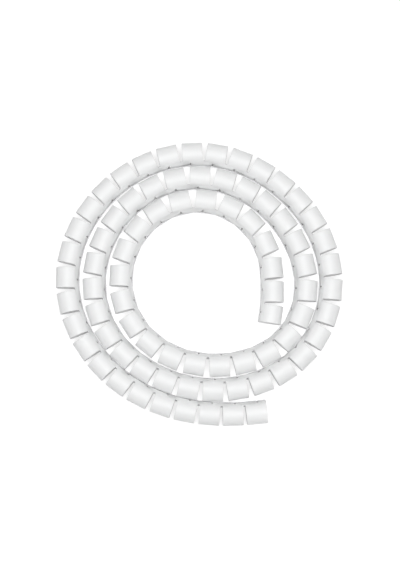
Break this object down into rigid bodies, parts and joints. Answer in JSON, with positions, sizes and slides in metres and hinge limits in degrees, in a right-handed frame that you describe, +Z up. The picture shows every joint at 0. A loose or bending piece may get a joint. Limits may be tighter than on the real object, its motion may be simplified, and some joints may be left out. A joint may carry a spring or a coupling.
{
  "type": "spiral cable wrap",
  "caption": "Split and slotted plastic tube that wraps a bundle of cables, lying coiled in a loose flat spiral.",
  "frame": {"origin": "on the floor, under the middle of the spiral's outline", "axes": "+Z up, +Y towards the far side of the spiral, with the outer end of the tube at the near side pointing along +X"},
  "size_m": [0.3174, 0.3146, 0.0249],
  "materials": {
    "plastic": "smooth white plastic with a soft sheen"
  },
  "bodies": {
    "root": {"spiral_wrap": "plastic"}
  },
  "joints": []
}
